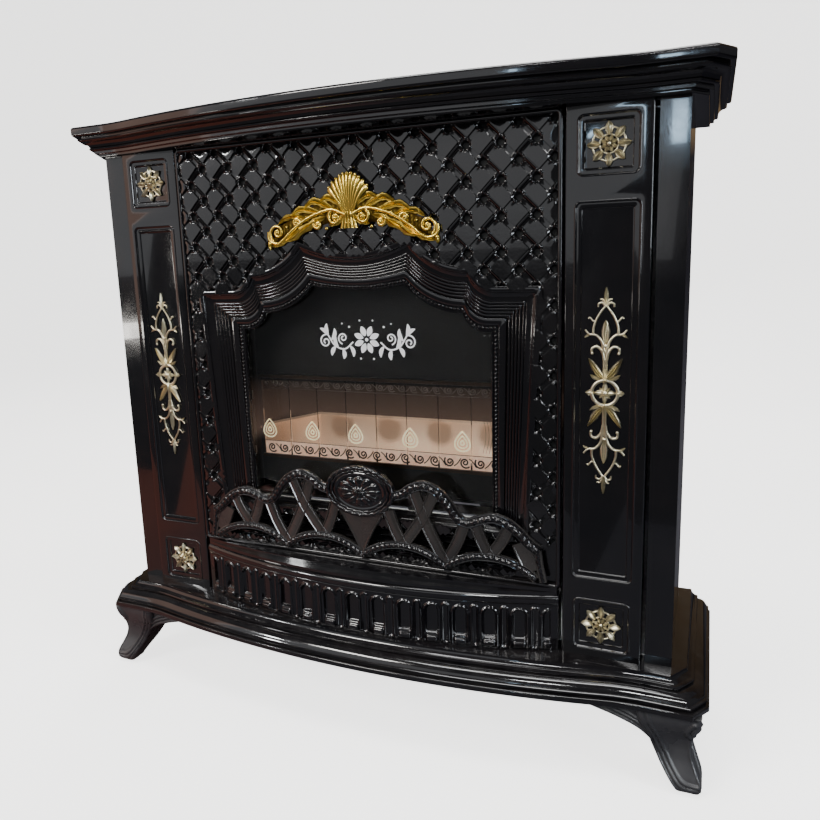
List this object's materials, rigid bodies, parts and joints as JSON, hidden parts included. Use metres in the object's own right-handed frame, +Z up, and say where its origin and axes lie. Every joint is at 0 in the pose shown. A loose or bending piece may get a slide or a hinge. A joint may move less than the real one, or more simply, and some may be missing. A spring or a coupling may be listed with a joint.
{
  "type": "gas heater",
  "caption": "Mantel-style freestanding flued gas heater with bowed shelf, woven cast front, shaped window surround, pierced fender, fluted apron and cabriole feet.",
  "frame": {"origin": "on the floor, at the bottom centre of the bounding box", "axes": "+X to the heater's right as seen from the front, +Y towards the wall behind it, +Z up; the front faces -Y"},
  "size_m": [0.971, 0.3364, 0.904],
  "materials": {
    "black_enamel": "glossy vitreous enamel",
    "foot_grey": "satin dark grey paint",
    "antique_brass": "antique brass with dark recesses",
    "gilt": "bright gold lacquer",
    "window_glass": "clear heat-resistant glass, lightly smoked",
    "strip_glass": "clear heat-resistant strips",
    "fibre_rope": "woven glass-fibre rope",
    "spring_steel": "zinc-plated steel",
    "rail_copper": "copper-toned sheet",
    "black_steel": "matt heat-resistant black",
    "zinc_sheet": "galvanised sheet",
    "copper": "bright copper sheet",
    "burner_steel": "heat-tinted stainless steel",
    "brass": "machined brass",
    "electrode_ceramic": "white ceramic",
    "cast_aluminium": "as-cast aluminium",
    "aluminium_pipe": "drawn aluminium pipe",
    "knob_black": "matt black heat-resistant plastic",
    "button_red": "dark red plastic",
    "plate_steel": "brushed stainless steel"
  },
  "bodies": {
    "heater": {"mantel_top": "black_enamel", "base_plinth": "black_enamel", "pilaster_left": "black_enamel", "pilaster_right": "black_enamel", "side_panel_left": "black_enamel", "side_panel_right": "black_enamel", "front_panel": "black_enamel", "window_frame": "black_enamel", "fender": "black_enamel", "hearth_shelf": "black_enamel", "apron": "black_enamel", "air_louvre": "black_enamel", "foot_front_left": "foot_grey", "foot_front_right": "foot_grey", "foot_rear_left": "foot_grey", "foot_rear_right": "foot_grey", "rosette_upper_left": "antique_brass", "rosette_upper_right": "antique_brass", "rosette_lower_left": "antique_brass", "rosette_lower_right": "antique_brass", "ornament_left": "antique_brass", "ornament_right": "antique_brass", "crest": "gilt", "window_glass": "window_glass", "window_gasket": "fibre_rope", "glass_clips": "spring_steel", "glass_strips": "strip_glass", "strip_rail_lower": "rail_copper", "strip_rail_upper": "rail_copper", "window_liner": "black_steel", "firebox": "black_steel", "firebox_legs": "zinc_sheet", "reflector": "copper", "burner_tube": "burner_steel", "burner_injector": "brass", "pilot_burner": "brass", "thermocouple": "copper", "spark_electrode": "electrode_ceramic", "draught_hood": "zinc_sheet", "flue_collar": "zinc_sheet", "rear_cover": "zinc_sheet", "rear_screws": "spring_steel", "top_shield": "zinc_sheet", "base_pan": "zinc_sheet", "foot_bolts": "spring_steel", "gas_valve": "cast_aluminium", "valve_bracket": "zinc_sheet", "control_plate": "plate_steel", "igniter_body": "knob_black", "inlet_pipe": "aluminium_pipe", "burner_pipe": "aluminium_pipe", "inlet_fitting": "brass", "inlet_bracket": "zinc_sheet"},
    "spindle": {"valve_spindle": "brass"},
    "knob": {"control_knob": "knob_black"},
    "igniter_push": {"igniter_button": "button_red"}
  },
  "joints": [
    {"name": "knob_push", "type": "slide", "parent": "heater", "child": "spindle", "axis": [1, 0, 0], "range_m": [0, 0.004], "stiffness_N_per_m": 600, "springref_m": -0.001},
    {"name": "knob_turn", "type": "hinge", "parent": "spindle", "child": "knob", "pos_m": [-0.45, 0.03325, 0.262], "axis": [-1, 0, 0], "range_deg": [0, 270]},
    {"name": "igniter_press", "type": "slide", "parent": "heater", "child": "igniter_push", "axis": [1, 0, 0], "range_m": [0, 0.006], "stiffness_N_per_m": 500, "springref_m": -0.001}
  ]
}
